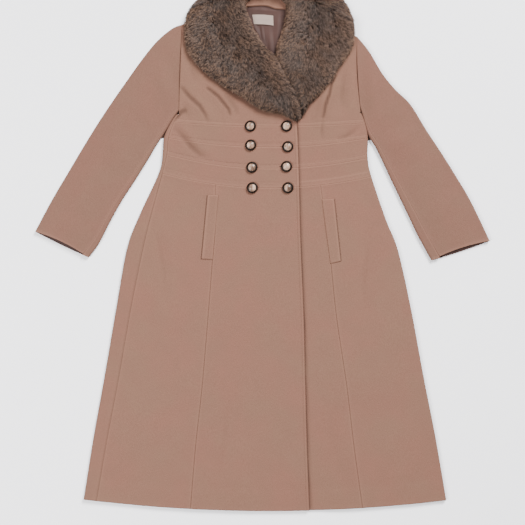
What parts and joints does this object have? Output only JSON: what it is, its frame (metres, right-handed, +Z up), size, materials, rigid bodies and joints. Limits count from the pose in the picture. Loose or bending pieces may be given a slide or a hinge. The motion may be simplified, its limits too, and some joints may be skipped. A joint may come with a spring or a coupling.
{
  "type": "wool coat",
  "caption": "Long double-breasted wool coat laid flat, with curved waist seams, welt pockets, two-piece sleeves and a fur shawl collar.",
  "frame": {"origin": "on the surface the coat lies on, under the middle of its length and width", "axes": "+Y towards the neck, +X towards the wearer's left, +Z up from the surface"},
  "size_m": [1.0374, 1.2216, 0.0336],
  "materials": {
    "wool": "felted camel-rose wool, matt with a short nap",
    "fur": "dense short grey-brown fur pile",
    "lining": "mauve-brown satin with a soft sheen",
    "label": "bare cream woven label",
    "button": "polished horn-coloured centre with a dark rim"
  },
  "bodies": {
    "root": {"back": "wool", "right_upper_front": "wool", "left_upper_front": "wool", "right_band_1": "wool", "right_band_2": "wool", "right_band_3": "wool", "left_band_1": "wool", "left_band_2": "wool", "left_band_3": "wool", "right_skirt_side": "wool", "right_skirt_centre": "wool", "left_skirt_centre": "wool", "left_skirt_side": "wool", "right_welt": "wool", "left_welt": "wool", "right_top_sleeve": "wool", "right_under_sleeve": "wool", "left_top_sleeve": "wool", "left_under_sleeve": "wool", "right_collar": "fur", "left_collar": "fur", "collar_stand": "wool", "back_lining": "lining", "label": "label", "button_1": "button", "button_2": "button", "button_3": "button", "button_4": "button", "button_5": "button", "button_6": "button", "button_7": "button", "button_8": "button"}
  },
  "joints": []
}
